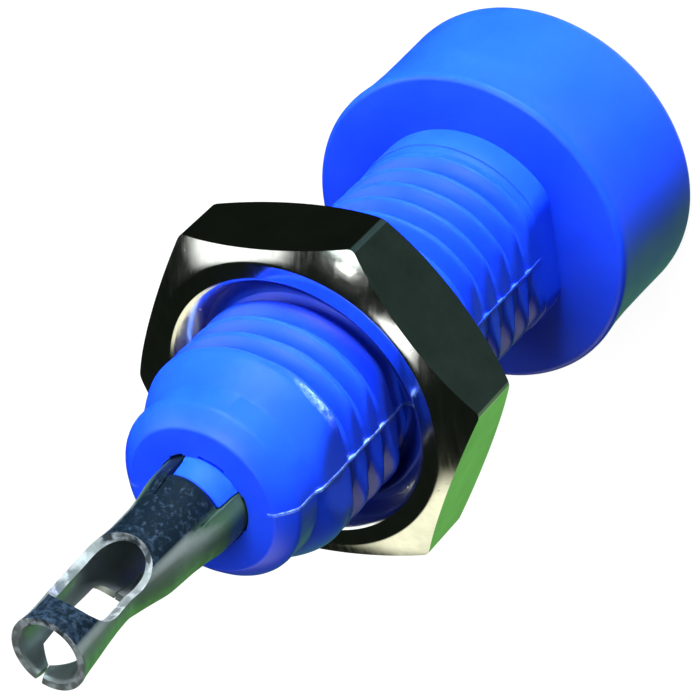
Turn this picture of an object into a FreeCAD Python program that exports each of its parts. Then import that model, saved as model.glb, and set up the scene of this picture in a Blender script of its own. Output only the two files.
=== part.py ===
import FreeCAD, Part
import math
import os
from FreeCAD import Vector

# Insulated panel tip jack: a moulded nylon body, a rolled metal contact and a plated hex nut.
# Millimetres and degrees. +Z is the jack's axis and runs from the flat front face of the head,
# which is Z = 0, to the flared end of the terminal. The mould's parting plane is Y = 0.

# The plug and how it goes in
PLUG_DIAMETER = 2.03
ENTRY_CLEARANCE = 0.135
ENTRY_LENGTH = 1.3
MOUTH_CHAMFER = 0.4

# Head, which is a little wider than the nut; its waist and front are set in from its lip
HEAD_LENGTH = 4.5
HEAD_OVER_NUT = 0.19
HEAD_WAIST_INSET = 0.1
HEAD_FRONT_INSET = 0.045
HEAD_WAIST_HEIGHT = 2.75
HEAD_FRONT_RADIUS = 0.4
HEAD_LIP_BEVEL = 0.12

# Barrel behind the head
BARREL_LENGTH = 13.97
COLLAR_DIAMETER = 6.35
COLLAR_LENGTH = 0.85
THREAD_DIAMETER = 6.25
THREAD_PITCH = 25.4 / 32
THREAD_DEPTH = 0.42
THREAD_CREST_WIDTH = 0.13
THREAD_START_HEIGHT = 1.2
FLAT_SPACING = 5.5
NOSE_DIAMETER = 5.28
NOSE_LENGTH = 1.27
RUN_OUT_LENGTH = 0.95
NOSE_EDGE_RADIUS = 0.45

# Rolled contact
CONTACT_WALL = 0.25
CONTACT_CLEARANCE = 0.045
CONTACT_SEAT_GAP = 0.05
BODY_BORE_CLEARANCE = 0.03
SEAM_WIDTH = 0.06
LEAD_IN = 0.12
TERMINAL_ANGLE = 62

# Terminal, the contact's tail; lengths are counted from the barrel's rear face
TAIL_LENGTH = 6.88
TAIL_ROOT_LENGTH = 0.5
THROAT_DISTANCE = 1.8
THROAT_DIAMETER = 2.28
WAIST_DISTANCE = 4.6
WAIST_DIAMETER = 1.94
WAIST_BOW = 0.2
WAIST_BOW_ANGLE = 135
RIM_DIAMETER = 2.17
EYE_DISTANCE = 3.22
EYE_LENGTH = 2.81
EYE_WIDTH = 1.7
EYE_BACK_WIDTH = 1.05
EYE_WALL_REACH = 0.25
EYE_ANGLE = 73

# Lanced tongue and the nylon key staked into its window
WINDOW_HALF_ANGLE = 40
WINDOW_DEPTH = 0.75
KEY_HEIGHT = 0.7
KEY_CLEARANCE = 0.03
TONGUE_LENGTH = 0.8
TONGUE_DROP = 0.24
TONGUE_SIDE_ANGLE = 2.5

# Hex nut
NUT_ACROSS_FLATS = 9.35
NUT_THICKNESS = 2.7
NUT_TO_HEAD = 6.75
NUT_ANGLE = 5
NUT_FACE_DIAMETER = 8.66
NUT_CHAMFER_ANGLE = 30
NUT_BORE_CLEARANCE = 0.04
NUT_COUNTERSINK_DIAMETER = 7.6

# Chords that draw a rounded edge, and the reach of a cutting tool past the surface that it cuts
ROUND_CHORDS = 3
OVERCUT = 1.0

barrel_top = HEAD_LENGTH + BARREL_LENGTH
thread_top = barrel_top - NOSE_LENGTH
lip_radius = NUT_ACROSS_FLATS / 2 + HEAD_OVER_NUT
terminal_top = barrel_top + TAIL_LENGTH
thread_radius = THREAD_DIAMETER / 2
root_radius = thread_radius - THREAD_DEPTH
nose_radius = NOSE_DIAMETER / 2
contact_bore_radius = PLUG_DIAMETER / 2 + CONTACT_CLEARANCE
contact_radius = contact_bore_radius + CONTACT_WALL
body_bore_radius = contact_radius + BODY_BORE_CLEARANCE
contact_front = ENTRY_LENGTH + CONTACT_SEAT_GAP
tail_root = barrel_top + TAIL_ROOT_LENGTH
window_bottom = barrel_top - WINDOW_DEPTH
window_top = barrel_top + KEY_HEIGHT + KEY_CLEARANCE


def at(radius, angle, height):
    """Return the point at a radius, an angle about the axis and a height."""
    turn = math.radians(angle)
    return Vector(radius * math.cos(turn), radius * math.sin(turn), height)


def spun_polygon(points):
    """Spin a closed polygon of (radius, height) points once about the axis."""
    corners = [Vector(r, 0, z) for r, z in points]
    face = Part.Face(Part.makePolygon(corners + [corners[0]]))
    return face.revolve(Vector(0, 0, 0), Vector(0, 0, 1), 360)


def rounded_corner(corner, radius, turn):
    """Return the points of a quarter-round, drawn in chords, whose square corner is given.

    The outline runs up the outside to a top edge when turn is 1, and along a bottom edge
    to the outside when turn is -1.
    """
    r, z = corner
    points = []
    for step in range(ROUND_CHORDS + 1):
        angle = math.radians(90 * step / ROUND_CHORDS)
        out = radius * (1 - math.cos(angle))
        up = radius * (1 - math.sin(angle))
        points.append((r - out, z - turn * up))
    return points[::turn]


def head():
    """The round head: slightly sunk sides between a rounded front edge and a lip at the back."""
    front = rounded_corner((lip_radius - HEAD_FRONT_INSET, 0), HEAD_FRONT_RADIUS, -1)
    return spun_polygon([
        (0, 0),
        *front,
        (lip_radius - HEAD_WAIST_INSET, HEAD_WAIST_HEIGHT),
        (lip_radius, HEAD_LENGTH - HEAD_LIP_BEVEL),
        (lip_radius - HEAD_LIP_BEVEL, HEAD_LENGTH),
        (0, HEAD_LENGTH),
    ])


def barrel_stock():
    """The barrel before its thread is cut: cylinder, run-out cone and rounded nose."""
    end = rounded_corner((nose_radius, barrel_top), NOSE_EDGE_RADIUS, 1)
    return spun_polygon([
        (0, 0),
        (thread_radius, 0),
        (thread_radius, thread_top - RUN_OUT_LENGTH),
        (nose_radius, thread_top),
        *end,
        (0, barrel_top),
    ])


def thread_grooves():
    """One vee groove for each pitch of the thread, from near the collar up to the run-out cone."""
    half_groove = THREAD_PITCH - THREAD_CREST_WIDTH
    outside_radius = thread_radius + THREAD_DEPTH
    first = HEAD_LENGTH + THREAD_START_HEIGHT - THREAD_PITCH / 2
    count = math.floor((thread_top - RUN_OUT_LENGTH - first) / THREAD_PITCH) + 1
    grooves = []
    for number in range(count):
        middle = first + number * THREAD_PITCH
        grooves.append(spun_polygon([
            (root_radius, middle),
            (outside_radius, middle - half_groove),
            (outside_radius, middle + half_groove),
        ]))
    return grooves


def barrel():
    """The threaded barrel with its two flats along the mould's parting line."""
    collar = Part.makeCylinder(COLLAR_DIAMETER / 2, HEAD_LENGTH + COLLAR_LENGTH)
    threaded = barrel_stock().cut(thread_grooves()).fuse(collar)
    across = COLLAR_DIAMETER + OVERCUT
    slab_corner = Vector(-FLAT_SPACING / 2, -across / 2, 0)
    slab = Part.makeBox(FLAT_SPACING, across, barrel_top, slab_corner)
    return threaded.common(slab)


def plug_entry():
    """The plug's way in through the head and the bore that holds the contact."""
    entry_radius = PLUG_DIAMETER / 2 + ENTRY_CLEARANCE
    mouth = entry_radius + MOUTH_CHAMFER
    return spun_polygon([
        (0, -OVERCUT),
        (mouth + OVERCUT, -OVERCUT),
        (mouth, 0),
        (entry_radius, MOUTH_CHAMFER),
        (entry_radius, ENTRY_LENGTH),
        (body_bore_radius, ENTRY_LENGTH),
        (body_bore_radius, barrel_top + OVERCUT),
        (0, barrel_top + OVERCUT),
    ])


def sector(inner, outer, bottom, top, half_angle, angle):
    """A block of a tube between two radii and heights, spread each way from an angle."""
    start = at(1, angle - half_angle, 0)
    corners = [
        start * inner + Vector(0, 0, bottom),
        start * outer + Vector(0, 0, bottom),
        start * outer + Vector(0, 0, top),
        start * inner + Vector(0, 0, top),
    ]
    face = Part.Face(Part.makePolygon(corners + [corners[0]]))
    return face.revolve(Vector(0, 0, 0), Vector(0, 0, 1), 2 * half_angle)


def key():
    """The nylon key that is staked through the contact's window and locks it in the body."""
    slack = math.degrees(KEY_CLEARANCE / contact_radius)
    half_angle = WINDOW_HALF_ANGLE - slack
    bottom = window_bottom + KEY_CLEARANCE
    top = barrel_top + KEY_HEIGHT
    rooting = (body_bore_radius + nose_radius) / 2
    foot_top = barrel_top - KEY_CLEARANCE
    foot = sector(contact_bore_radius, rooting, bottom, foot_top, half_angle, TERMINAL_ANGLE)
    post = sector(contact_bore_radius, contact_radius, bottom, top, half_angle, TERMINAL_ANGLE)
    return foot.fuse(post)


def nylon_body():
    """The one-piece moulded body: head, threaded barrel, bore and staked key."""
    solid = head().fuse(barrel()).cut(plug_entry())
    return solid.fuse(key()).removeSplitter()


def sleeve_skin(radius):
    """The straight sleeve that takes the plug, at one radius."""
    return Part.makeCylinder(radius, tail_root - contact_front, Vector(0, 0, contact_front))


def tail_skin(inset):
    """The necked tail, lofted through rings and bowed sideways at its waist."""
    throat = barrel_top + THROAT_DISTANCE
    waist = barrel_top + WAIST_DISTANCE
    settle = (tail_root + throat) / 2
    between = (throat + waist) / 2
    flare = (waist + terminal_top) / 2
    settle_radius = (contact_radius + THROAT_DIAMETER / 2) / 2
    between_radius = (THROAT_DIAMETER + WAIST_DIAMETER) / 4
    flare_radius = (RIM_DIAMETER + WAIST_DIAMETER) / 4
    rings = [
        (tail_root, contact_radius, 0),
        (settle, settle_radius, 0),
        (throat, THROAT_DIAMETER / 2, 0),
        (between, between_radius, WAIST_BOW / 4),
        (waist, WAIST_DIAMETER / 2, WAIST_BOW),
        (flare, flare_radius, WAIST_BOW / 4),
        (terminal_top, RIM_DIAMETER / 2, WAIST_BOW / 4),
    ]
    up = Vector(0, 0, 1)
    wires = []
    for height, radius, bow in rings:
        centre = at(bow, WAIST_BOW_ANGLE, height)
        wires.append(Part.Wire(Part.makeCircle(radius - inset, centre, up)))
    return Part.makeLoft(wires, True, True)


def eye_half(width, near, side):
    """One opening of the solder eye: an upright oval that cuts from near the tail's middle outwards."""
    end_radius = width / 2
    reach = contact_radius + OVERCUT
    low = barrel_top + EYE_DISTANCE + end_radius
    high = low + EYE_LENGTH - width
    across = Vector(side, 0, 0)
    start = across * near
    depth = reach - near
    ends = [Part.makeCylinder(end_radius, depth, start + Vector(0, 0, z), across) for z in (low, high)]
    corner = Vector(near if side > 0 else -reach, -end_radius, low)
    return Part.makeBox(depth, width, high - low, corner).fuse(ends)


def eye():
    """The solder eye: a wide opening, and a narrower one in the wall behind it."""
    cutter = eye_half(EYE_WIDTH, EYE_WALL_REACH, 1).fuse(eye_half(EYE_BACK_WIDTH, EYE_WALL_REACH, -1))
    cutter.rotate(Vector(0, 0, 0), Vector(0, 0, 1), EYE_ANGLE)
    cutter.translate(at(WAIST_BOW * 3 / 4, WAIST_BOW_ANGLE, 0))
    return cutter


def seam():
    """The open seam of the rolled sheet, on the side away from the window."""
    length = terminal_top + OVERCUT
    gap = Part.makeBox(contact_radius + OVERCUT, SEAM_WIDTH, length, Vector(0, -SEAM_WIDTH / 2, 0))
    gap.rotate(Vector(0, 0, 0), Vector(0, 0, 1), TERMINAL_ANGLE + 180)
    return gap


def tongue_section(height, drop):
    """The tongue's cross-section, a slice of the rolled wall moved in towards the axis."""
    half_angle = WINDOW_HALF_ANGLE - TONGUE_SIDE_ANGLE
    low = TERMINAL_ANGLE - half_angle
    high = TERMINAL_ANGLE + half_angle
    shift = at(-drop, TERMINAL_ANGLE, height)
    edges = []
    for radius in (contact_radius, contact_bore_radius):
        points = [at(radius, a, 0) + shift for a in (low, TERMINAL_ANGLE, high)]
        edges.append(Part.Arc(*points).toShape())
    for angle in (low, high):
        inner = at(contact_bore_radius, angle, 0) + shift
        outer = at(contact_radius, angle, 0) + shift
        edges.append(Part.LineSegment(inner, outer).toShape())
    return Part.Wire(Part.__sortEdges__(edges))


def contact():
    """The rolled contact: sprung sleeve, lanced tongue, solder eye, open seam and flared end."""
    bore_end = contact_bore_radius
    outer = sleeve_skin(contact_radius).fuse(tail_skin(0))
    inner = sleeve_skin(bore_end).fuse(tail_skin(CONTACT_WALL))
    lead = Part.makeCone(bore_end + LEAD_IN, bore_end, LEAD_IN, Vector(0, 0, contact_front))
    tube = outer.cut(inner).cut(lead).cut(seam()).cut(eye())
    tongue_root = window_top + TONGUE_LENGTH
    window = sector(contact_bore_radius / 2, contact_radius + OVERCUT, window_bottom, tongue_root,
                    WINDOW_HALF_ANGLE, TERMINAL_ANGLE)
    tongue = Part.makeLoft([tongue_section(window_top, TONGUE_DROP), tongue_section(tongue_root, 0)], True, True)
    return tube.cut(window).fuse(tongue).removeSplitter()


def hex_prism(across_flats, height):
    """An upright hexagonal prism on Z = 0 with a corner at angle 0."""
    corner = across_flats / math.sqrt(3)
    points = [at(corner, 60 * k, 0) for k in range(7)]
    return Part.Face(Part.makePolygon(points)).extrude(Vector(0, 0, height))


def nut_envelope():
    """The double cone that chamfers the nut's corners at both faces."""
    corner = NUT_ACROSS_FLATS / math.sqrt(3) + OVERCUT
    face_radius = NUT_FACE_DIAMETER / 2
    drop = (corner - face_radius) * math.tan(math.radians(NUT_CHAMFER_ANGLE))
    return spun_polygon([
        (0, 0),
        (face_radius, 0),
        (corner, drop),
        (corner, NUT_THICKNESS - drop),
        (face_radius, NUT_THICKNESS),
        (0, NUT_THICKNESS),
    ])


def nut_bore():
    """The nut's bore, which clears the thread's crests, countersunk at both faces."""
    radius = thread_radius + NUT_BORE_CLEARANCE
    sink = NUT_COUNTERSINK_DIAMETER / 2
    depth = sink - radius
    return spun_polygon([
        (0, -OVERCUT),
        (sink + OVERCUT, -OVERCUT),
        (radius, depth),
        (radius, NUT_THICKNESS - depth),
        (sink + OVERCUT, NUT_THICKNESS + OVERCUT),
        (0, NUT_THICKNESS + OVERCUT),
    ])


def hex_nut():
    """The plated hex nut, part way along the thread."""
    nut = hex_prism(NUT_ACROSS_FLATS, NUT_THICKNESS).common(nut_envelope()).cut(nut_bore())
    nut.rotate(Vector(0, 0, 0), Vector(0, 0, 1), NUT_ANGLE)
    nut.translate(Vector(0, 0, HEAD_LENGTH + NUT_TO_HEAD))
    return nut


def main():
    """Build each piece, check it and write its STEP file."""
    os.makedirs("parts", exist_ok=True)
    pieces = {
        "nylon_body": nylon_body(),
        "contact": contact(),
        "hex_nut": hex_nut(),
    }
    for name, shape in pieces.items():
        solids = len(shape.Solids)
        box = shape.BoundBox
        print(name, "valid", shape.isValid(), "solids", solids, "volume", round(shape.Volume, 3),
              "z", round(box.ZMin, 3), round(box.ZMax, 3), "r", round(box.XMax, 3))
        shape.exportStep("parts/" + name + ".step")


main()
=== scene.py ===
"""Looks of a panel tip jack: a moulded nylon body, a rolled solder contact and a plated hex nut."""
import logging
import math
from dataclasses import dataclass, replace
from enum import Enum

import bmesh
import bpy
from mathutils import Matrix, Vector, noise


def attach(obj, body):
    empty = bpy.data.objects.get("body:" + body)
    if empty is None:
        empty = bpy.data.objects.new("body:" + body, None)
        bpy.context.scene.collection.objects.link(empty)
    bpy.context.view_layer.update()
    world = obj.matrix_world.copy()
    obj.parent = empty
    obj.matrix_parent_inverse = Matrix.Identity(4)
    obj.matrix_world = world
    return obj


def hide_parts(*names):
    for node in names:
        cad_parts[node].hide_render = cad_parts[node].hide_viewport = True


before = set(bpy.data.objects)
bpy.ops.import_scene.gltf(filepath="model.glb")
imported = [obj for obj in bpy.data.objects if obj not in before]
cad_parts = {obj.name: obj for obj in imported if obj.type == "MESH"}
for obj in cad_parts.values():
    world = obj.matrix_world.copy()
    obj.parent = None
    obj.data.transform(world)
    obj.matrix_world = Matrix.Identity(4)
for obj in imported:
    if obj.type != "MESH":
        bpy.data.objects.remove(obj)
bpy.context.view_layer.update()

MM = 0.001
LOG = logging.getLogger("tip_jack")
Rgba = tuple[float, float, float, float]
Triple = tuple[float, float, float]
Points = list[tuple[float, float]]


class Cut(Enum):
    """How one solid changes another."""

    JOIN = "UNION"
    REMOVE = "DIFFERENCE"
    KEEP_COMMON = "INTERSECT"


def turned(angle: float, radius: float, height: float) -> Vector:
    """Return the point at an angle in degrees, a radius and a height about the jack's axis."""
    turn = math.radians(angle)
    return Vector((radius * math.cos(turn), radius * math.sin(turn), height))


def outline(bm: bmesh.types.BMesh, points: Points, closed: bool) -> list:
    """Draw a run of (radius, height) points in the XZ plane.

    Args:
        bm: The mesh to draw in.
        points: The corners, in millimetres.
        closed: Whether the last point joins the first.

    Returns:
        The new vertices and edges.
    """
    verts = [bm.verts.new((r, 0.0, z)) for r, z in points]
    pairs = list(zip(verts, verts[1:]))
    if closed:
        pairs.append((verts[-1], verts[0]))
    return verts + [bm.edges.new(pair) for pair in pairs]


def filled(points: Points) -> bmesh.types.BMesh:
    """Draw a closed run of points and fill it with one face."""
    bm = bmesh.new()
    drawn = outline(bm, points, True)
    bmesh.ops.contextual_create(bm, geom=[e for e in drawn if isinstance(e, bmesh.types.BMEdge)])
    return bm


def everything(bm: bmesh.types.BMesh) -> list:
    """Return all the mesh's vertices, edges and faces."""
    return list(bm.verts) + list(bm.edges) + list(bm.faces)


def extruded(bm: bmesh.types.BMesh) -> list[bmesh.types.BMVert]:
    """Extrude all the faces in place and return the new vertices."""
    made = bmesh.ops.extrude_face_region(bm, geom=list(bm.faces))
    return [v for v in made["geom"] if isinstance(v, bmesh.types.BMVert)]


def spin_round(bm: bmesh.types.BMesh, angle: float) -> None:
    """Turn the mesh about the jack's axis by an angle in degrees."""
    bmesh.ops.rotate(bm, cent=(0, 0, 0), matrix=Matrix.Rotation(math.radians(angle), 3, "Z"), verts=bm.verts)


def sweep(bm: bmesh.types.BMesh, geom: list, angle: float, steps: int, lift: float = 0.0,
          merge: bool = False) -> None:
    """Spin geometry about the jack's axis.

    Args:
        bm: The mesh that holds it.
        geom: What is spun.
        angle: How far it turns, in degrees.
        steps: How many steps it takes.
        lift: How far each step rises.
        merge: Whether the last step joins the first.
    """
    bmesh.ops.spin(bm, geom=geom, cent=(0, 0, 0), axis=(0, 0, 1), dvec=(0, 0, lift),
                   angle=math.radians(angle), steps=steps, use_merge=merge, use_duplicate=False)


def ease(bm: bmesh.types.BMesh, edges: list, offset: float, segments: int) -> None:
    """Round some edges, by how far the rounding reaches and its number of steps."""
    bmesh.ops.bevel(bm, geom=edges, offset=offset, offset_type="OFFSET", segments=segments, profile=0.5,
                    affect="EDGES", material=-1, clamp_overlap=True)


def spun_solid(points: Points, steps: int) -> bmesh.types.BMesh:
    """Spin a profile once about the jack's axis into a closed solid.

    Args:
        points: The (radius, height) corners, from the axis to the axis.
        steps: How many steps make the full turn.

    Returns:
        The solid's mesh, with its faces pointing outwards.
    """
    bm = bmesh.new()
    sweep(bm, outline(bm, points, False), 360, steps, merge=True)
    bmesh.ops.remove_doubles(bm, verts=bm.verts, dist=1e-4)
    bmesh.ops.recalc_face_normals(bm, faces=bm.faces)
    return bm


def round_ring(bm: bmesh.types.BMesh, radius: float, height: float, offset: float, segments: int) -> None:
    """Round the ring edge that a spun corner left.

    Args:
        bm: The spun mesh.
        radius: The corner's radius about the axis.
        height: The corner's height.
        offset: How far the rounding reaches.
        segments: How many steps round it.
    """
    near = 1e-3
    ring = [e for e in bm.edges
            if all(abs(v.co.z - height) < near and abs(v.co.xy.length - radius) < near for v in e.verts)]
    ease(bm, ring, offset, segments)


def shave(bm: bmesh.types.BMesh, point: Vector, normal: Vector) -> None:
    """Cut away what lies beyond a plane and close the cut with a flat face.

    Args:
        bm: A closed mesh.
        point: A point on the plane.
        normal: The plane's normal, towards what is cut away.
    """
    bmesh.ops.bisect_plane(bm, geom=everything(bm), dist=1e-6, plane_co=point, plane_no=normal,
                           clear_outer=True)
    open_edges = [e for e in bm.edges if e.is_boundary]
    bmesh.ops.holes_fill(bm, edges=open_edges, sides=0)


def arc_block(points: Points, middle: float, half: float, steps: int) -> bmesh.types.BMesh:
    """Spin a closed profile part of a turn into a solid block.

    Args:
        points: The profile's (radius, height) corners.
        middle: The angle in degrees that the block is centred on.
        half: How far it reaches each way, in degrees.
        steps: How many steps it has round its arc.

    Returns:
        The block's mesh.
    """
    bm = filled(points)
    spin_round(bm, middle - half)
    sweep(bm, everything(bm), 2 * half, steps)
    bmesh.ops.recalc_face_normals(bm, faces=bm.faces)
    return bm


def wedge(inner: float, outer: float, low: float, high: float, middle: float, half: float,
          steps: int = 32) -> bmesh.types.BMesh:
    """Spin a rectangle part of a turn into a closed block of a tube.

    Args:
        inner: The block's inner radius.
        outer: Its outer radius.
        low: Its lower end.
        high: Its upper end.
        middle: The angle in degrees that it is centred on.
        half: How far it reaches each way, in degrees.
        steps: How many steps it has round its arc.

    Returns:
        The block's mesh.
    """
    return arc_block([(inner, low), (outer, low), (outer, high), (inner, high)], middle, half, steps)


def soft_least(first: float, second: float, blend: float) -> float:
    """Return the smaller of two numbers, eased over a blend where they are close."""
    share = min(max(0.5 + 0.5 * (second - first) / blend, 0.0), 1.0)
    return second + (first - second) * share - blend * share * (1 - share)


def placed(bm: bmesh.types.BMesh, name: str) -> bpy.types.Object:
    """Turn a mesh, which is freed, into an object that the scene holds."""
    mesh = bpy.data.meshes.new(name)
    bm.to_mesh(mesh)
    bm.free()
    made = bpy.data.objects.new(name, mesh)
    bpy.context.scene.collection.objects.link(made)
    return made


def settle(target: bpy.types.Object) -> None:
    """Apply an object's modifiers to its mesh."""
    bpy.context.view_layer.update()
    graph = bpy.context.evaluated_depsgraph_get()
    mesh = bpy.data.meshes.new_from_object(target.evaluated_get(graph))
    old = target.data
    target.modifiers.clear()
    target.data = mesh
    bpy.data.meshes.remove(old)


def combine(target: bpy.types.Object, tool: bpy.types.Object, cut: Cut) -> None:
    """Join, remove or intersect one solid with another, which is used up.

    Args:
        target: The solid that changes.
        tool: The solid that changes it.
        cut: Which of the three it is.
    """
    step = target.modifiers.new("cut", "BOOLEAN")
    step.operation = cut.value
    step.solver = "MANIFOLD"
    step.object = tool
    settle(target)
    bpy.data.objects.remove(tool)


def finish_piece(piece: bpy.types.Object, sharp_angle: float) -> None:
    """Bring a piece from millimetres to metres and shade it smooth between its sharp edges.

    Args:
        piece: The finished shape.
        sharp_angle: The angle in degrees past which an edge stays sharp.
    """
    mesh = piece.data
    mesh.transform(Matrix.Scale(MM, 4))
    mesh.shade_smooth()
    mesh.set_sharp_from_angle(angle=math.radians(sharp_angle))
    weigh = piece.modifiers.new("weigh", "WEIGHTED_NORMAL")
    weigh.mode = "FACE_AREA"
    weigh.keep_sharp = True
    settle(piece)


class Graph:
    """A node tree that is being wired up."""

    def __init__(self, tree: bpy.types.NodeTree) -> None:
        """Start from an empty tree."""
        self.tree = tree
        tree.nodes.clear()

    def node(self, kind: str, values: dict | None = None, **settings: object) -> bpy.types.Node:
        """Add a node.

        Args:
            kind: Its type name without the ShaderNode prefix.
            values: Input values or output sockets to link, by input name or place.
            settings: Attributes of the node.

        Returns:
            The new node.
        """
        made = self.tree.nodes.new(kind if kind.startswith("Node") else "ShaderNode" + kind)
        for key, value in settings.items():
            setattr(made, key, value)
        for key, value in (values or {}).items():
            if isinstance(value, bpy.types.NodeSocket):
                self.tree.links.new(value, made.inputs[key])
            else:
                made.inputs[key].default_value = value
        return made

    def coords(self, scale: float | Triple) -> bpy.types.NodeSocket:
        """Return the object's own coordinates times a scale, so that 1000 counts in millimetres."""
        place = self.node("TexCoord").outputs["Object"]
        size = scale if isinstance(scale, tuple) else (scale, scale, scale)
        return self.node("Mapping", {"Vector": place, "Scale": size}).outputs["Vector"]

    def math(self, how: str, first: object, second: object = 0.0) -> bpy.types.NodeSocket:
        """Return the result of one sum."""
        return self.node("Math", {0: first, 1: second}, operation=how).outputs[0]

    def vector(self, how: str, first: object, second: object, result: str = "Vector") -> bpy.types.NodeSocket:
        """Return the vector or the number that one vector sum gives."""
        return self.node("VectorMath", {0: first, 1: second}, operation=how).outputs[result]

    def spread(self, value: object, low: float, high: float, out_low: float,
               out_high: float) -> bpy.types.NodeSocket:
        """Return a value moved from one range to another and kept inside it."""
        wanted = {"Value": value, "From Min": low, "From Max": high, "To Min": out_low, "To Max": out_high}
        return self.node("MapRange", wanted, clamp=True).outputs["Result"]

    def blend(self, share: object, first: object, second: object) -> bpy.types.NodeSocket:
        """Return a mix of two colours."""
        made = self.node("Mix", {0: share, 6: first, 7: second}, data_type="RGBA")
        return made.outputs[2]


def new_material(name: str) -> tuple[bpy.types.Material, Graph]:
    """Return a new material and its empty graph."""
    made = bpy.data.materials.new(name)
    made.use_nodes = True
    return made, Graph(made.node_tree)


def speckle_group() -> bpy.types.NodeTree:
    """Build the group that scatters fine pits and a slow mottle over a surface, in object millimetres."""
    tree = bpy.data.node_groups.new("pits_and_mottle", "ShaderNodeTree")
    sides = tree.interface
    for name, value in (("Pit Scale", 3.0), ("Mottle Scale", 0.6), ("Pit Amount", 0.5)):
        sides.new_socket(name=name, in_out="INPUT", socket_type="NodeSocketFloat").default_value = value
    for name in ("Pits", "Mottle"):
        sides.new_socket(name=name, in_out="OUTPUT", socket_type="NodeSocketFloat")
    g = Graph(tree)
    given = g.node("NodeGroupInput")
    place = g.coords(1 / MM)
    cells = g.node("TexVoronoi", {"Vector": place, "Scale": given.outputs["Pit Scale"], "Randomness": 1.0})
    dots = g.spread(cells.outputs["Distance"], 0.04, 0.16, 1.0, 0.0)
    gate = g.node("TexNoise", {"Vector": place, "Scale": given.outputs["Pit Scale"], "Detail": 1.0})
    open_gate = g.spread(gate.outputs["Fac"], 0.52, 0.6, 0.0, 1.0)
    pits = g.math("MULTIPLY", g.math("MULTIPLY", dots, open_gate), given.outputs["Pit Amount"])
    slow = g.node("TexNoise", {"Vector": place, "Scale": given.outputs["Mottle Scale"], "Detail": 4.0,
                               "Roughness": 0.6})
    g.node("NodeGroupOutput", {"Pits": pits, "Mottle": slow.outputs["Fac"]})
    return tree


@dataclass(frozen=True)
class BlueNylon:
    """Moulded blue nylon, a little translucent, with a soft gloss."""

    deep: Rgba = (0.003, 0.038, 0.78, 1.0)
    light: Rgba = (0.01, 0.07, 0.9, 1.0)
    # Whitened by rubs and the parting line, and also the colour of the painted highlight on the last crest.
    worn: Rgba = (0.32, 0.5, 0.8, 1.0)
    roughness: float = 0.42
    bump_height: float = 0.006
    rub_and_sheen_place: Triple = (2.3, 1.93, 16.03)
    rub_and_sheen_squeeze: Triple = (0.75, 0.75, 2.6)
    parting_width: float = 0.07

    def rub_and_sheen(self, g: Graph, place: bpy.types.NodeSocket) -> bpy.types.NodeSocket:
        """Return the mask of the whitened rub on the thread's last crest, past the nut, which is partly a
        painted broad highlight.
        """
        apart = g.vector("SUBTRACT", place, self.rub_and_sheen_place)
        flat = g.vector("MULTIPLY", apart, self.rub_and_sheen_squeeze)
        far = g.node("VectorMath", {0: flat}, operation="LENGTH").outputs["Value"]
        grain = g.node("TexNoise", {"Vector": place, "Scale": 5.0, "Detail": 4.0, "Roughness": 0.7})
        near = g.spread(far, 0.2, 0.75, 1.0, 0.0)
        return g.math("MULTIPLY", near, g.spread(grain.outputs["Fac"], 0.42, 0.68, 0.0, 0.9))

    def parting(self, g: Graph, place: bpy.types.NodeSocket) -> bpy.types.NodeSocket:
        """Return the mask of the whitened parting line along the flats and over the nose, painted fainter
        towards the head as shade.
        """
        axes = g.node("SeparateXYZ", {0: place}).outputs
        width = self.parting_width
        near = g.spread(g.math("ABSOLUTE", axes["Y"]), width * 0.5, width, 1.0, 0.0)
        above = g.spread(axes["Z"], 5.2, 5.6, 0.0, 1.0)
        outside = g.spread(g.math("ABSOLUTE", axes["X"]), 1.9, 2.4, 0.0, 1.0)
        grain = g.node("TexNoise", {"Vector": place, "Scale": 7.0, "Detail": 3.0, "Roughness": 0.7})
        rough = g.spread(grain.outputs["Fac"], 0.38, 0.62, 0.15, 1.0)
        # Painted shade: the line is whitened less towards the head, where it lies in shadow.
        shaded_strength = g.spread(axes["Z"], 11.0, 14.0, 0.12, 0.55)
        share = g.math("MULTIPLY", rough, shaded_strength)
        return g.math("MULTIPLY", g.math("MULTIPLY", near, above), g.math("MULTIPLY", outside, share))

    def material(self, pits: bpy.types.NodeTree) -> bpy.types.Material:
        """Build the material.

        Args:
            pits: The shared group of pits and mottle.

        Returns:
            The nylon's material.
        """
        made, g = new_material("blue_nylon")
        marks = g.node("Group", {"Pit Scale": 2.2, "Mottle Scale": 0.5, "Pit Amount": 0.6}, node_tree=pits)
        place = g.coords(1 / MM)
        # The rub mask is partly painted highlight, and the parting mask is painted fainter towards the head
        # as shade.
        worn = g.math("MAXIMUM", self.rub_and_sheen(g, place), self.parting(g, place))
        colour = g.blend(worn, g.blend(marks.outputs["Mottle"], self.deep, self.light), self.worn)
        rough = g.spread(marks.outputs["Mottle"], 0.3, 0.7, self.roughness - 0.05, self.roughness + 0.07)
        skin = g.node("TexNoise", {"Vector": place, "Scale": 6.0, "Detail": 3.0})
        raised = g.math("ADD", skin.outputs["Fac"], g.math("MULTIPLY", worn, 1.5))
        height = g.math("SUBTRACT", raised, marks.outputs["Pits"])
        bump = g.node("Bump", {"Height": height, "Strength": 0.35, "Distance": self.bump_height * MM})
        surface = g.node("BsdfPrincipled", {
            "Base Color": colour, "Roughness": rough, "Normal": bump.outputs[0], "IOR": 1.53,
            "Subsurface Weight": 0.3, "Subsurface Radius": (0.2, 0.45, 1.0), "Subsurface Scale": 0.5 * MM,
            "Coat Weight": 0.12, "Coat Roughness": 0.15,
        })
        g.node("OutputMaterial", {"Surface": surface.outputs[0]})
        return made


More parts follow.
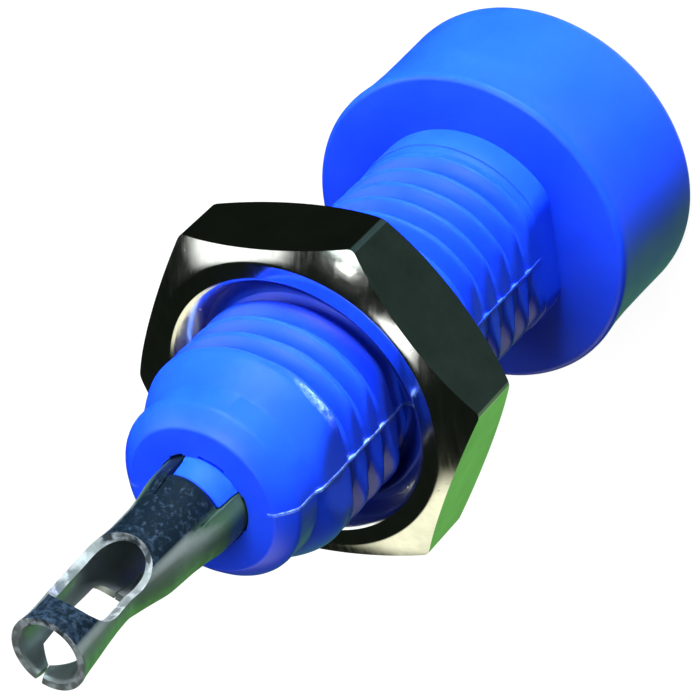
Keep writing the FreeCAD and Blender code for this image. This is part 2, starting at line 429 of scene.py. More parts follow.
@dataclass(frozen=True)
class Plating:
    """A plated metal, bare unless its kind coats it."""

    name: str
    bright: Rgba
    dull: Rgba
    roughness: float
    spread: float
    scratch: float
    bump: float

    def coat(self, g: Graph, surface: bpy.types.Node, colour: bpy.types.NodeSocket) -> None:
        """Make the surface bare plating of a colour.

        Args:
            g: The material's graph.
            surface: The shader.
            colour: The plating's colour.
        """
        g.tree.links.new(colour, surface.inputs["Base Color"])
        surface.inputs["Metallic"].default_value = 1.0

    def material(self, pits: bpy.types.NodeTree) -> bpy.types.Material:
        """Build the material.

        Args:
            pits: The shared group of pits and mottle.

        Returns:
            The plating's material.
        """
        made, g = new_material(self.name)
        marks = g.node("Group", {"Pit Scale": 3.6, "Mottle Scale": 0.9, "Pit Amount": 2.2}, node_tree=pits)
        colour = g.blend(marks.outputs["Mottle"], self.bright, self.dull)
        stretched = g.coords((9 / MM, 1.2 / MM, 4 / MM))
        fine = g.node("TexNoise", {"Vector": stretched, "Scale": 1.0, "Detail": 3.0}).outputs["Fac"]
        rough = g.spread(fine, 0.35, 0.65, self.roughness, self.roughness + self.spread)
        height = g.math("SUBTRACT", g.math("MULTIPLY", fine, self.scratch), marks.outputs["Pits"])
        bump = g.node("Bump", {"Height": height, "Strength": self.bump, "Distance": 0.008 * MM})
        surface = g.node("BsdfPrincipled", {"Roughness": rough, "Normal": bump.outputs[0]})
        self.coat(g, surface, colour)
        g.node("OutputMaterial", {"Surface": surface.outputs[0]})
        return made


@dataclass(frozen=True)
class DullTin(Plating):
    """Tin with a dull film on its staked root that carries painted dark and green-grey reflections, and
    exposed metal with a painted highlight on its cut edges.
    """

    # Film colours that also paint reflections: dark grey-blue on the tongue's side, green-grey on the rest.
    dark_film_and_reflection: Rgba = (0.003, 0.007, 0.012, 1.0)
    pale_film_and_reflection: Rgba = (0.022, 0.04, 0.07, 1.0)
    side_film_and_green_reflection: Rgba = (0.07, 0.14, 0.09, 1.0)
    # Pale exposed metal of the cut edges, which is also a painted highlight.
    bare_and_highlight: Rgba = (0.42, 0.48, 0.52, 1.0)
    # The way that the side with the painted dark reflection faces.
    facing: Triple = (0.259, 0.966, 0.0)

    def film_and_reflection(self, g: Graph, place: bpy.types.NodeSocket) -> list[bpy.types.NodeSocket]:
        """Return the film's colour, painted dark grey-blue as a reflection on the tongue's side and
        green-grey as a reflection elsewhere, and its share of the surface.
        """
        height = g.node("SeparateXYZ", {0: place}).outputs["Z"]
        level = g.vector("MULTIPLY", place, (1.0, 1.0, 0.0))
        around = g.node("VectorMath", {0: level}, operation="NORMALIZE").outputs[0]
        front = g.vector("DOT_PRODUCT", around, self.facing, "Value")
        # Painted reflection: the side facing this way gets the dark grey-blue, the rest the green-grey.
        tongue = g.spread(front, 0.4, 0.72, 0.0, 1.0)
        grain = g.node("TexNoise", {"Vector": place, "Scale": 6.0, "Detail": 4.0, "Roughness": 0.75})
        paler = g.math("ADD", grain.outputs["Fac"], g.math("MULTIPLY", height, 0.015))
        grey_blue_and_dark_reflection = g.blend(g.spread(paler, 0.82, 1.04, 0.0, 1.0), self.dark_film_and_reflection, self.pale_film_and_reflection)
        reach = g.math("ADD", height, g.math("MULTIPLY", grain.outputs["Fac"], 0.5))
        lower = g.math("SUBTRACT", reach, g.math("MULTIPLY", tongue, 1.2))
        share = g.math("MAXIMUM", g.spread(lower, 19.5, 21.3, 1.0, 0.12), tongue)
        return [g.blend(tongue, self.side_film_and_green_reflection, grey_blue_and_dark_reflection), share]

    def coat(self, g: Graph, surface: bpy.types.Node, colour: bpy.types.NodeSocket) -> None:
        """Cover the plating with the film and its painted reflections, and make its cut edges exposed metal
        with a painted highlight.

        Args:
            g: The material's graph.
            surface: The shader.
            colour: The plating's colour.
        """
        place = g.coords(1 / MM)
        film_and_reflection, share = self.film_and_reflection(g, place)
        patch = g.node("TexNoise", {"Vector": place, "Scale": 3.0, "Detail": 3.0}).outputs["Fac"]
        edge = g.node("Attribute", attribute_name="cut_edge").outputs["Fac"]
        # Painted highlight: the cut edges are made pale and less metallic in patches, partly as exposed
        # metal.
        bare_edge_and_highlight = g.math("MULTIPLY", edge, g.spread(patch, 0.42, 0.6, 0.05, 0.6))
        whole = g.blend(bare_edge_and_highlight, g.blend(share, colour, film_and_reflection), self.bare_and_highlight)
        g.tree.links.new(whole, surface.inputs["Base Color"])
        surface.inputs["Specular IOR Level"].default_value = 0.2
        dull = g.math("MAXIMUM", g.math("MULTIPLY", bare_edge_and_highlight, 0.6), g.math("MULTIPLY", share, 0.8))
        g.tree.links.new(g.math("SUBTRACT", 1.0, dull), surface.inputs["Metallic"])


NICKEL = Plating("bright_nickel", bright=(0.88, 0.89, 0.83, 1.0), dull=(0.42, 0.44, 0.41, 1.0),
                 roughness=0.09, spread=0.06, scratch=0.08, bump=0.14)
TIN = DullTin("dull_tin", bright=(0.60, 0.66, 0.70, 1.0), dull=(0.40, 0.46, 0.50, 1.0),
              roughness=0.34, spread=0.14, scratch=0.15, bump=0.2)


@dataclass
class Thread:
    """The right-hand thread's form and place, in millimetres and degrees."""

    pitch: float = 25.4 / 32
    crest_radius: float = 3.12
    root_radius: float = 2.705
    crest_width: float = 0.13
    flank_angle: float = 30.0
    crest_angle: float = 28.0
    crest_height: float = 5.7
    steps: int = 120

    def tooth(self) -> Points:
        """Return one pitch of the profile from root to root, with its corners eased."""
        depth = self.crest_radius - self.root_radius
        lean = depth * math.tan(math.radians(self.flank_angle))
        crest = self.crest_width / 2
        foot = crest + lean
        half = self.pitch / 2
        near = [
            (self.root_radius, -half),
            (self.root_radius, -foot - 0.05),
            (self.root_radius + 0.02, -foot + 0.01),
            (self.root_radius + depth * 0.3, -foot + lean * 0.3),
            (self.root_radius + depth * 0.65, -foot + lean * 0.65),
            (self.crest_radius - 0.06, -crest - 0.03),
            (self.crest_radius - 0.015, -crest + 0.01),
            (self.crest_radius, -crest + 0.04),
        ]
        far = [(r, -z) for r, z in reversed(near)]
        return near + far[:-1] + [(self.root_radius, half)]

    def skin(self, below: float, above: float) -> bmesh.types.BMesh:
        """Sweep the tooth along its helix and trim it to a solid rod between two heights.

        Args:
            below: The rod's lower end.
            above: The rod's upper end.

        Returns:
            The threaded rod, closed at both ends.
        """
        at_zero = self.crest_height - self.pitch * self.crest_angle / 360
        spare = math.ceil((at_zero - below) / self.pitch) + 1
        start = at_zero - spare * self.pitch
        turns = math.ceil((above - start) / self.pitch) + 1
        bm = bmesh.new()
        tooth = outline(bm, [(r, start + z) for r, z in self.tooth()], False)
        sweep(bm, tooth, 360, self.steps, self.pitch / self.steps)
        one_turn = everything(bm)
        for turn in range(1, turns):
            copied = bmesh.ops.duplicate(bm, geom=one_turn)
            lifted = [v for v in copied["geom"] if isinstance(v, bmesh.types.BMVert)]
            bmesh.ops.translate(bm, vec=(0, 0, turn * self.pitch), verts=lifted)
        bmesh.ops.remove_doubles(bm, verts=bm.verts, dist=1e-4)
        bmesh.ops.recalc_face_normals(bm, faces=bm.faces)
        for height, way in ((below, -1), (above, 1)):
            shave(bm, Vector((0, 0, height)), Vector((0, 0, way)))
        return bm


@dataclass
class MouldedBody:
    """The one-piece nylon body, in millimetres."""

    thread: Thread
    head_length: float = 4.5
    lip_radius: float = 4.865
    waist_radius: float = 4.765
    front_radius: float = 4.82
    waist_height: float = 2.75
    front_round: float = 0.4
    lip_round: float = 0.2
    collar_radius: float = 3.175
    collar_length: float = 0.85
    flat_offset: float = 2.75
    nose_radius: float = 2.64
    barrel_top: float = 18.47
    nose_length: float = 1.27
    run_out: float = 0.95
    cone_bow: float = 1.3
    fade_start: float = 15.85
    fade_length: float = 0.3
    run_in: float = 0.75
    flat_ease: float = 0.16
    nose_chamfer: float = 0.48
    flash_width: float = 0.075
    flash_depth: float = 0.1
    flash_step: float = 0.04
    flash_points: int = 294
    overlap: float = 0.4
    facing: float = 62.0
    key_inner: float = 0.98
    key_outer: float = 1.305
    key_half: float = 38.5
    key_rise: float = 0.7
    key_depth: float = 0.7
    slits: tuple[tuple[float, float], ...] = ((114.0, 10.0), (67.0, 17.0), (-7.0, 24.0))
    bore_radius: float = 1.34
    entry_radius: float = 1.15
    entry_length: float = 1.3
    mouth: float = 0.4
    steps: int = 160

    def head(self) -> bpy.types.Object:
        """Spin the head and round its edges."""
        top = self.head_length
        mid = (self.waist_height + top) / 2
        waist = self.waist_radius
        bm = spun_solid([
            (0, 0),
            (self.front_radius, 0),
            (waist + 0.012, self.waist_height - 0.9),
            (waist, self.waist_height),
            (waist + 0.02, mid),
            (waist + 0.06, mid + 0.45),
            (self.lip_radius, top),
            (0, top),
        ], self.steps)
        round_ring(bm, self.front_radius, 0, self.front_round, 8)
        round_ring(bm, self.lip_radius, top, self.lip_round, 5)
        return placed(bm, "head")

    def nose(self) -> bpy.types.Object:
        """Spin the smooth nose with its chamfered end, and ease the chamfer's edges."""
        top, cut = self.barrel_top, self.nose_chamfer
        foot = self.run_out_top - self.overlap
        bm = spun_solid([
            (0, foot),
            (self.nose_radius, foot),
            (self.nose_radius, top - cut),
            (self.nose_radius - cut * 0.55, top - cut * 0.38),
            (self.nose_radius - cut, top),
            (0, top),
        ], self.steps)
        round_ring(bm, self.nose_radius, top - cut, 0.1, 3)
        round_ring(bm, self.nose_radius - cut, top, 0.06, 3)
        return placed(bm, "nose")

    def collar(self) -> bpy.types.Object:
        """Spin the plain collar between the head and the thread."""
        top = self.head_length + self.collar_length
        foot = self.head_length - self.overlap
        side = self.collar_radius
        bm = spun_solid([(0, foot), (side, foot), (side, top), (0, top)], self.steps)
        round_ring(bm, side, top, 0.05, 2)
        self.flatten(bm)
        return placed(bm, "collar")

    def flatten(self, bm: bmesh.types.BMesh) -> None:
        """Press a round form in to the barrel's two flats, with eased edges."""
        for vert in bm.verts:
            side = abs(vert.co.x)
            if side > 1.5:
                vert.co.x *= soft_least(side, self.flat_offset, self.flat_ease) / side

    @property
    def run_out_top(self) -> float:
        """Where the thread's run-out meets the nose."""
        return self.barrel_top - self.nose_length

    def threaded(self) -> bpy.types.Object:
        """Make the threaded stretch, which fades out and cones down to the nose."""
        thread = self.thread
        cone_start = self.run_out_top - self.run_out
        inside = self.nose_radius - 0.01
        bm = thread.skin(self.head_length + 0.5, self.run_out_top + 0.2)
        for vert in bm.verts:
            radius = vert.co.xy.length
            if radius < 1:
                continue
            fade_out = (vert.co.z - self.fade_start) / self.fade_length
            fade_in = 1 - (vert.co.z - self.head_length - self.collar_length) / self.run_in
            fade = min(max(fade_out, fade_in, 0.0), 1.0)
            full = radius + (thread.crest_radius - radius) * fade * fade * (3 - 2 * fade)
            share = min(max((vert.co.z - cone_start) / self.run_out, 0.0), 1.0) ** self.cone_bow
            limit = thread.crest_radius + share * (inside - thread.crest_radius)
            vert.co.xy = vert.co.xy * (min(full, limit) / radius)
        self.flatten(bm)
        return placed(bm, "threaded")

    def flash_over_nose(self) -> Points:
        """Return the parting line's points along the nose, round its edge and onto its end."""
        top, cut, step = self.barrel_top, self.nose_chamfer, self.flash_step
        side = [(self.nose_radius, self.run_out_top + step * (k + 2)) for k in range(17)]
        slope = [(self.nose_radius - cut * k / 12, top - cut * (1 - k / 12) ** 1.25) for k in range(1, 13)]
        return side + slope + [(self.nose_radius - cut - step * k, top) for k in range(1, 5)]

    def flash(self, way: int) -> bpy.types.Object:
        """Raise the thin uneven line that the mould's parting leaves along a flat and over the nose.

        Args:
            way: 1 for the flat towards +X, -1 for the other.
        """
        seed = 7.0 * way
        top, low = self.barrel_top, self.head_length + self.collar_length
        path = [(self.flat_offset, low + self.flash_step * k) for k in range(self.flash_points)]
        if way > 0:
            path += self.flash_over_nose()
        crest, root = [], []
        for r, z in path:
            rough = noise.noise(Vector((r * 2.1, seed, z * 2.3)))
            bump = max(0.0, noise.noise(Vector((seed, r * 0.9, z * 0.8))) - 0.32)
            proud = 0.014 + 0.014 * rough + 0.09 * bump
            lean = min(max((z - top + self.nose_chamfer) / self.nose_chamfer, 0.0), 1.0)
            out = Vector((math.cos(lean * math.pi / 2), math.sin(lean * math.pi / 2)))
            crest.append((r + out.x * proud, z + out.y * proud))
            root.append((r - out.x * self.flash_depth, z - out.y * self.flash_depth))
        bm = filled(crest + root[::-1])
        bmesh.ops.triangulate(bm, faces=bm.faces)
        bmesh.ops.translate(bm, vec=(0, self.flash_width, 0), verts=extruded(bm))
        bmesh.ops.translate(bm, vec=(0, -self.flash_width / 2, 0), verts=bm.verts)
        if way < 0:
            spin_round(bm, 180)
        for vert in bm.verts:
            vert.co.y += 0.02 * noise.noise(Vector((seed, 3.0, vert.co.z * 1.7)))
        bmesh.ops.recalc_face_normals(bm, faces=bm.faces)
        return placed(bm, "flash")

    def key(self) -> bpy.types.Object:
        """Make the key that is staked into the contact's window, with eased edges."""
        top = self.barrel_top + self.key_rise
        foot = self.barrel_top - self.key_depth
        profile = [(self.key_inner, foot), (self.key_outer, foot), (self.key_outer, self.barrel_top + 0.1),
                   (self.key_outer - 0.05, self.barrel_top + 0.2), (self.key_inner + 0.22, top - 0.06),
                   (self.key_inner + 0.16, top), (self.key_inner, top)]
        bm = arc_block(profile, self.facing, self.key_half, 24)
        rim = [e for e in bm.edges if all(v.co.z > self.barrel_top + 0.05 for v in e.verts)
               and abs(e.verts[0].co.xy.length - e.verts[1].co.xy.length) > 0.01]
        ease(bm, rim, 0.03, 2)
        return placed(bm, "key")

    def plug_way(self) -> bpy.types.Object:
        """Spin the tool that cuts the plug's entry and the contact's bore."""
        beyond = self.barrel_top + 1
        mouth = self.entry_radius + self.mouth
        bm = spun_solid([
            (0, -1),
            (mouth + 1, -1),
            (mouth, 0),
            (self.entry_radius, self.mouth),
            (self.entry_radius, self.entry_length),
            (self.bore_radius, self.entry_length),
            (self.bore_radius, beyond),
            (0, beyond),
        ], self.steps)
        return placed(bm, "plug_way")

    def build(self) -> bpy.types.Object:
        """Join the body's forms into one moulding.

        Returns:
            The moulding, in metres.
        """
        moulding = self.threaded()
        combine(moulding, self.nose(), Cut.JOIN)
        combine(moulding, self.collar(), Cut.JOIN)
        combine(moulding, self.head(), Cut.JOIN)
        for way in (1, -1):
            combine(moulding, self.flash(way), Cut.JOIN)
        combine(moulding, self.plug_way(), Cut.REMOVE)
        foot = wedge(self.key_inner, self.bore_radius + 0.3, self.barrel_top - self.key_depth,
                     self.barrel_top - 0.001, self.facing, self.key_half)
        combine(moulding, placed(foot, "foot"), Cut.JOIN)
        combine(moulding, self.key(), Cut.JOIN)
        for middle, half in self.slits:
            slit = wedge(self.bore_radius - 0.03, self.bore_radius + 0.05, self.barrel_top - 0.5,
                         self.barrel_top + 0.2, middle, half)
            combine(moulding, placed(slit, "slit"), Cut.REMOVE)
        moulding.name = "moulded_body"
        finish_piece(moulding, sharp_angle=32)
        return moulding


@dataclass
class HexNut:
    """The plated hex nut, in millimetres and degrees."""

    thread: Thread
    across_flats: float = 9.35
    thickness: float = 2.7
    height: float = 11.25
    turn: float = 5.0
    face_radius: float = 4.33
    chamfer_angle: float = 30.0
    chamfer_bow: float = 0.2
    sink_radius: float = 3.8
    bore_radius: float = 3.165
    ridge_radius: float = 2.79
    ridge_gap: float = 0.035
    edge_round: float = 0.14
    ring_round: float = 0.05
    spare: float = 0.4
    steps: int = 144

    def bar(self) -> bpy.types.Object:
        """Cut a length of hexagonal bar, with a corner at the nut's turn."""
        bm = bmesh.new()
        bmesh.ops.create_circle(bm, cap_ends=True, segments=6, radius=self.across_flats / math.sqrt(3))
        bmesh.ops.translate(bm, vec=(0, 0, self.thickness), verts=extruded(bm))
        bmesh.ops.recalc_face_normals(bm, faces=bm.faces)
        corners = [e for e in bm.edges if abs(e.verts[0].co.z - e.verts[1].co.z) > 1]
        ease(bm, corners, self.edge_round, 3)
        spin_round(bm, self.turn - 90)
        return placed(bm, "hex_nut_plated")

    def envelope(self) -> bpy.types.Object:
        """Spin the double cone that chamfers the nut's corners, with its face edges eased."""
        run = self.across_flats / math.sqrt(3) + self.spare - self.face_radius
        slope = math.tan(math.radians(self.chamfer_angle))
        low = []
        for k in range(9):
            share = k / 8
            drop = run * share * (slope - self.chamfer_bow * (1 - share))
            low.append((self.face_radius + run * share, drop))
        high = [(r, self.thickness - z) for r, z in reversed(low)]
        bm = spun_solid([(0, 0)] + low + high + [(0, self.thickness)], self.steps)
        for height in (0, self.thickness):
            round_ring(bm, self.face_radius, height, self.ring_round, 2)
        return placed(bm, "envelope")

    def bore(self) -> bpy.types.Object:
        """Spin the tool that opens the bore, with a countersink and an eased edge at each face."""
        sink, soft = self.sink_radius, self.ring_round
        low = [(0, -1), (sink + 1.5, -1), (sink + 2.2 * soft, -0.01), (sink + soft, soft * 0.35),
               (sink - soft, soft * 1.6), (self.ridge_radius, sink - self.ridge_radius)]
        high = [(r, self.thickness - z) for r, z in reversed(low)]
        return placed(spun_solid(low + high, self.steps), "bore")

    def internal_thread(self) -> bpy.types.Object:
        """Sweep the tool that cuts the nut's thread, a little clear of the barrel's."""
        thread, past = self.thread, 0.6
        narrower = (self.bore_radius - thread.crest_radius) * math.tan(math.radians(thread.flank_angle))
        grown = replace(thread, crest_radius=self.bore_radius, root_radius=self.ridge_radius - 0.05,
                        crest_width=thread.crest_width + 2 * (self.ridge_gap - narrower))
        bm = grown.skin(self.height - past, self.height + self.thickness + past)
        bmesh.ops.translate(bm, vec=(0, 0, -self.height), verts=bm.verts)
        return placed(bm, "internal_thread")

    def build(self) -> bpy.types.Object:
        """Cut the nut from a hexagonal bar.

        Returns:
            The nut, in metres.
        """
        nut = self.bar()
        combine(nut, self.envelope(), Cut.KEEP_COMMON)
        combine(nut, self.bore(), Cut.REMOVE)
        combine(nut, self.internal_thread(), Cut.REMOVE)
        nut.data.transform(Matrix.Translation((0, 0, self.height)))
        finish_piece(nut, sharp_angle=25)
        return nut


@dataclass(frozen=True)
class Oval:
    """An oval opening that was punched in the strip before it was rolled, in millimetres and degrees.

    It is centred on the angle middle and reaches half each way, from low to high. Its straight sides are
    twice straight long, and its upper end runs out by point.
    """

    middle: float
    half: float
    low: float
    high: float
    straight: float
    point: float = 0.0


@dataclass
class RolledContact:
    """The rolled contact with its tongue, eye and flared end, in millimetres and degrees."""

    wall: float = 0.25
    front: float = 1.35
    seam: float = 0.045
    seam_notch: float = 4.3
    facing: float = 62.0
    bow_angle: float = 135.0
    window_low: float = 17.72
    window_high: float = 19.2
    tongue_root: float = 20.02
    tongue_drop: float = 0.24
    tongue_gap: float = 3.0
    half_window: float = 40.0
    smoothing: float = 0.16
    rim_start: float = 25.0
    # Height above which cut edges get the pale exposed metal with a painted highlight.
    bare_and_highlit_from: float = 20.3
    steps: int = 120
    eye: tuple[Oval, ...] = (
        Oval(middle=73.0, half=72.0, low=21.64, high=24.52, straight=0.35),
        Oval(middle=247.0, half=38.0, low=21.9, high=24.55, straight=0.9, point=0.45),
    )
    profile: tuple[Triple, ...] = (
        (1.35, 1.31, 0.0), (1.5, 1.31, 0.0), (10.0, 1.31, 0.0), (17.7, 1.31, 0.0), (19.1, 1.31, 0.0),
        (19.24, 1.3, 0.0), (19.45, 1.255, 0.0), (19.7, 1.205, 0.0), (20.0, 1.175, 0.0), (20.25, 1.14, 0.0),
        (21.3, 1.1, 0.025), (22.06, 1.05, 0.14), (22.8, 0.967, 0.2), (23.4, 0.97, 0.175),
        (24.0, 0.985, 0.125), (24.56, 1.005, 0.07), (24.95, 1.022, 0.045), (25.2, 1.05, 0.035),
        (25.35, 1.083, 0.03),
    )

    @property
    def end(self) -> float:
        """The height of the flared end."""
        return self.profile[-1][0]

    def at(self, height: float) -> tuple[float, float]:
        """Return the outer radius and the sideways bow at a height."""
        rows = self.profile
        for (z0, r0, b0), (z1, r1, b1) in zip(rows, rows[1:]):
            if height <= z1:
                share = max(0.0, (height - z0) / (z1 - z0))
                return r0 + (r1 - r0) * share, b0 + (b1 - b0) * share
        return rows[-1][1], rows[-1][2]

    def smooth_at(self, height: float) -> tuple[float, float]:
        """Return the outer radius and the bow at a height, averaged over what is near it."""
        reach = self.smoothing if height < self.rim_start else max(0.0, (self.end - height) * 0.45)
        near = [self.at(height + reach * k / 3) for k in range(-3, 4)]
        return sum(r for r, _ in near) / 7, sum(b for _, b in near) / 7

    def build(self) -> bpy.types.Object:
        """Roll the strip, bow its tail and cut its window and eye.

        Returns:
            The contact, in metres.
        """
        gap = math.degrees(self.seam / self.profile[0][1])
        rows = [self.front, 1.42, 1.6, 6.0, 12.0, 17.0, 18.0, 18.6, 19.0]
        rows += [19.08 + 0.057 * k for k in range(110)] + [self.end]
        bm = bmesh.new()
        geom = outline(bm, [(1.0, z) for z in rows], False)
        spin_round(bm, self.facing + 180 + gap / 2)
        sweep(bm, geom, 360 - gap, self.steps)
        inner = bmesh.ops.duplicate(bm, geom=everything(bm))
        thin = {v for v in inner["geom"] if isinstance(v, bmesh.types.BMVert)}
        for vert in bm.verts:
            radius, bow = self.smooth_at(vert.co.z)
            from_seam = (math.degrees(math.atan2(vert.co.y, vert.co.x)) - self.facing) % 360 - 180
            open_rim = max(0.0, (vert.co.z - 24.95) / 0.4) ** 2 * max(0.0, 1 - abs(from_seam) / 25)
            push = math.radians(math.copysign(self.seam_notch * open_rim, from_seam))
            vert.co = Matrix.Rotation(push, 3, "Z") @ vert.co
            worn = 0.5 * (max(0.0, vert.co.z - self.end + 0.06) + max(0.0, self.front + 0.1 - vert.co.z))
            vert.co.xy = vert.co.xy * (radius - self.wall + worn if vert in thin else radius - worn * 0.6)
            vert.co += turned(self.bow_angle, bow, 0)
        bmesh.ops.bridge_loops(bm, edges=[e for e in bm.edges if e.is_boundary])
        bmesh.ops.recalc_face_normals(bm, faces=bm.faces)
        contact = placed(bm, "rolled_contact")
        for oval in self.eye:
            combine(contact, self.opening(oval), Cut.REMOVE)
        window = wedge(0.5, 2.0, self.window_low, self.tongue_root - 0.02, self.facing, self.half_window)
        combine(contact, placed(window, "window"), Cut.REMOVE)
        combine(contact, self.tongue(), Cut.JOIN)
        finish_piece(contact, sharp_angle=35)
        self.mark_cut_edges(contact)
        return contact

    def mark_cut_edges(self, contact: bpy.types.Object) -> None:
        """Mark the faces that the shears left, across the wall's thickness."""
        mark = contact.data.attributes.new("cut_edge", "FLOAT", "FACE")
        for face in contact.data.polygons:
            height = face.center.z / MM
            _, bow = self.smooth_at(height)
            out = face.center / MM - turned(self.bow_angle, bow, 0)
            across = abs(face.normal.dot(Vector((out.x, out.y, 0)).normalized()))
            if height > self.bare_and_highlit_from:
                mark.data[face.index].value = min(max((0.62 - across) / 0.2, 0.0), 1.0)

    def tongue(self) -> bpy.types.Object:
        """Make the tongue that is lanced from the wall and pressed in below the key."""
        half = self.half_window - self.tongue_gap
        bm = wedge(0.9, 1.0, self.window_high, self.tongue_root, self.facing, half, 18)
        rungs = [e for e in bm.edges if abs(e.verts[0].co.z - e.verts[1].co.z) > 0.1]
        bmesh.ops.subdivide_edges(bm, edges=rungs, cuts=9, use_grid_fill=True)
        away = turned(self.facing, 1, 0)
        right = turned(self.facing - 90, 1, 0)
        reach = math.sin(math.radians(half))
        for vert in bm.verts:
            radius, _ = self.smooth_at(vert.co.z)
            tilt = 0.1 + 0.9 * (0.5 + 0.5 * vert.co.xy.normalized().dot(right.xy) / reach) ** 2
            share = max(0.0, self.tongue_root - vert.co.z) / (self.tongue_root - self.window_high)
            outside = vert.co.xy.length > 0.95
            edge = max(0.0, 0.05 - (vert.co.z - self.window_high))
            depth = 0.001 + edge * 0.7 if outside else self.wall - 0.001
            vert.co.xy = vert.co.xy.normalized() * (radius - depth)
            vert.co -= away * self.tongue_drop * tilt * share ** 1.15
        bmesh.ops.recalc_face_normals(bm, faces=bm.faces)
        return placed(bm, "tongue")

    def opening(self, oval: Oval) -> bpy.types.Object:
        """Make the cutter for an opening."""
        bm = bmesh.new()
        bmesh.ops.create_grid(bm, x_segments=24, y_segments=24, size=1)
        lifted = set(extruded(bm))
        centre = (oval.low + oval.high) / 2
        reach = (oval.high - oval.low) / 2 - oval.straight
        for vert in bm.verts:
            x, y, _ = vert.co
            across, along = x * math.sqrt(1 - y * y / 2), y * math.sqrt(1 - x * x / 2)
            if oval.point and y > 0:
                across, along = x, y * (1 + (1 - abs(x + 0.13) / 1.13) * oval.point / reach)
            height = centre + along * reach
            if abs(y) > 0.01:
                height += math.copysign(oval.straight, y)
            _, bow = self.smooth_at(height)
            vert.co = turned(oval.middle + across * oval.half, 1.5 if vert in lifted else 0.4, height)
            vert.co += turned(self.bow_angle, bow, 0)
        bmesh.ops.recalc_face_normals(bm, faces=bm.faces)
        return placed(bm, "opening")


@dataclass(frozen=True)
class Panel:
    """A soft bright panel of the studio, by the direction towards it."""

    toward: Triple
    edge: float
    core: float
    colour: Rgba


PANELS = (
    Panel((-0.7, 0.27, 0.66), 0.925, 0.975, (2.0, 2.05, 2.05, 1.0)),
    Panel((0.06, -0.09, 0.99), 0.985, 0.996, (3.0, 3.0, 3.0, 1.0)),
    Panel((-0.04, 0.54, 0.84), 0.97, 0.99, (3.0, 3.4, 3.4, 1.0)),
    Panel((-0.018, -0.92, 0.386), 0.9, 0.97, (1.5, 1.45, 1.1, 1.0)),
    Panel((0.13, 0.95, 0.0), 0.78, 0.97, (1.9, 2.4, 2.3, 1.0)),
    Panel((0.95, 0.2, 0.15), 0.5, 0.95, (0.08, 0.12, 0.09, 1.0)),
    Panel((0.66, 0.29, -0.69), 0.85, 0.97, (0.015, 0.028, 0.028, 1.0)),
    Panel((-0.075, -0.712, -0.696), 0.85, 0.96, (0.15, 0.46, 0.1, 1.0)),
    Panel((0.5, -0.52, -0.69), 0.85, 0.97, (0.12, 0.2, 0.12, 1.0)),
    Panel((0.15, 0.7, -0.69), 0.8, 0.97, (0.05, 0.09, 0.1, 1.0)),
    Panel((0.0, 0.0, -1.0), 0.85, 0.98, (0.8, 0.8, 0.8, 1.0)),
)


@dataclass(frozen=True)
class Lamp:
    """A soft square lamp that faces the jack, in metres and watts.

    Only a mirrored one shows in glossy surfaces.
    """

    name: str
    toward: Triple
    distance: float
    size: float
    power: float
    mirrored: bool = False


LAMPS = (
    Lamp("key", (0.06, 0.985, -0.03), 0.3, 0.1, 8.0),
    Lamp("rear_fill", (0.05, 0.35, 0.93), 0.35, 0.18, 1.0),
    Lamp("glint", (-0.1, 0.32, 0.945), 0.35, 0.012, 0.02, mirrored=True),
    Lamp("front_fill", (0.3, 0.3, -0.9), 0.35, 0.16, 0.8),
)


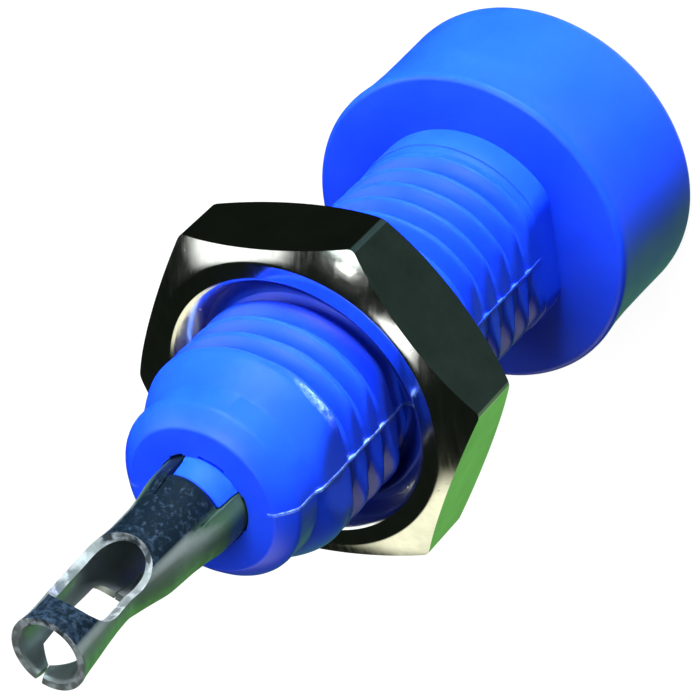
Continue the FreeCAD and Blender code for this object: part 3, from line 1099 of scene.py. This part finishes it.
@dataclass
class Studio:
    """The camera at the photograph's angle, the pale floor and the soft lights."""

    place: Triple = (0.04926216, 0.05131833, 0.07936032)
    turn: Triple = (-36.56156474, 30.42658034, -9.49760974)
    focal_pixels: float = 3689.79
    frame_pixels: float = 700.0
    sensor: float = 36.0
    shade: Rgba = (0.008, 0.011, 0.008, 1.0)
    backdrop: Rgba = (0.95, 0.95, 0.95, 1.0)
    floor_size: float = 0.6
    floor_gap: float = 0.02
    lamp_aim: float = 12.0

    def camera(self) -> None:
        """Set the camera."""
        lens = bpy.data.cameras.new("camera")
        lens.sensor_width = self.sensor
        lens.lens = self.focal_pixels * self.sensor / self.frame_pixels
        lens.clip_start, lens.clip_end = 0.005, 5.0
        made = bpy.data.objects.new("camera", lens)
        made.location = self.place
        made.rotation_euler = [math.radians(a) for a in self.turn]
        bpy.context.scene.collection.objects.link(made)
        bpy.context.scene.camera = made

    def floor(self) -> None:
        """Lay the pale floor."""
        bm = bmesh.new()
        bmesh.ops.create_grid(bm, x_segments=1, y_segments=1, size=self.floor_size)
        made = placed(bm, "floor")
        made.location.z = -self.floor_gap * MM
        finish, g = new_material("pale_floor")
        surface = g.node("BsdfPrincipled", {
            "Base Color": (0.16, 0.16, 0.16, 1.0), "Roughness": 0.9, "Emission Color": (1.0, 1.0, 1.0, 1.0),
            "Emission Strength": 0.93,
        })
        g.node("OutputMaterial", {"Surface": surface.outputs[0]})
        made.data.materials.append(finish)
        made.visible_glossy = False
        made.visible_diffuse = False

    def hang(self, lamp: Lamp) -> None:
        """Hang a lamp."""
        light = bpy.data.lights.new(lamp.name, "AREA")
        light.size = lamp.size
        light.energy = lamp.power
        made = bpy.data.objects.new(lamp.name, light)
        made.visible_glossy = lamp.mirrored
        way = Vector(lamp.toward).normalized()
        made.location = Vector((0, 0, self.lamp_aim * MM)) + way * lamp.distance
        made.rotation_mode = "QUATERNION"
        made.rotation_quaternion = way.to_track_quat("Z", "Y")
        bpy.context.scene.collection.objects.link(made)

    def air(self) -> None:
        """Surround the jack with soft bright panels, which the metal mirrors and the camera doesn't see."""
        world = bpy.data.worlds.new("studio_air")
        world.use_nodes = True
        g = Graph(world.node_tree)
        way = g.node("TexCoord").outputs["Generated"]
        light = self.shade
        for panel in PANELS:
            facing = g.node("VectorMath", {0: way, 1: panel.toward}, operation="DOT_PRODUCT").outputs["Value"]
            share = g.node("MapRange", {"Value": facing, "From Min": panel.edge, "From Max": panel.core},
                           interpolation_type="SMOOTHSTEP").outputs["Result"]
            light = g.node("Mix", {0: share, 6: light, 7: panel.colour}, data_type="RGBA",
                           blend_type="ADD").outputs[2]
        seen = g.node("LightPath").outputs["Is Camera Ray"]
        plain = g.blend(seen, light, self.backdrop)
        g.node("OutputWorld", {"Surface": g.node("Background", {"Color": plain, "Strength": 1.0}).outputs[0]})
        bpy.context.scene.world = world

    def build(self) -> None:
        """Set up the whole studio."""
        self.camera()
        self.floor()
        self.air()
        for lamp in LAMPS:
            self.hang(lamp)
        bpy.context.scene.view_settings.view_transform = "Standard"


def dress(piece: bpy.types.Object, finish: bpy.types.Material, node: str, body: str) -> None:
    """Give a piece its finish, its body and the node that it stands for.

    Args:
        piece: The finished piece.
        finish: Its material.
        node: The plain node that it replaces.
        body: The body that it rides on.
    """
    piece.data.materials.clear()
    piece.data.materials.append(finish)
    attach(piece, body)
    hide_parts(node)
    LOG.info("%s: %d faces", piece.name, len(piece.data.polygons))


def main() -> None:
    """Build the jack's pieces and the studio."""
    logging.basicConfig(level=logging.INFO, format="%(message)s")
    pits = speckle_group()
    thread = Thread()
    dress(MouldedBody(thread).build(), BlueNylon().material(pits), "nylon_body", "jack")
    dress(RolledContact().build(), TIN.material(pits), "contact", "jack")
    dress(HexNut(thread).build(), NICKEL.material(pits), "hex_nut", "nut")
    Studio().build()


if __name__ == "__main__":
    main()
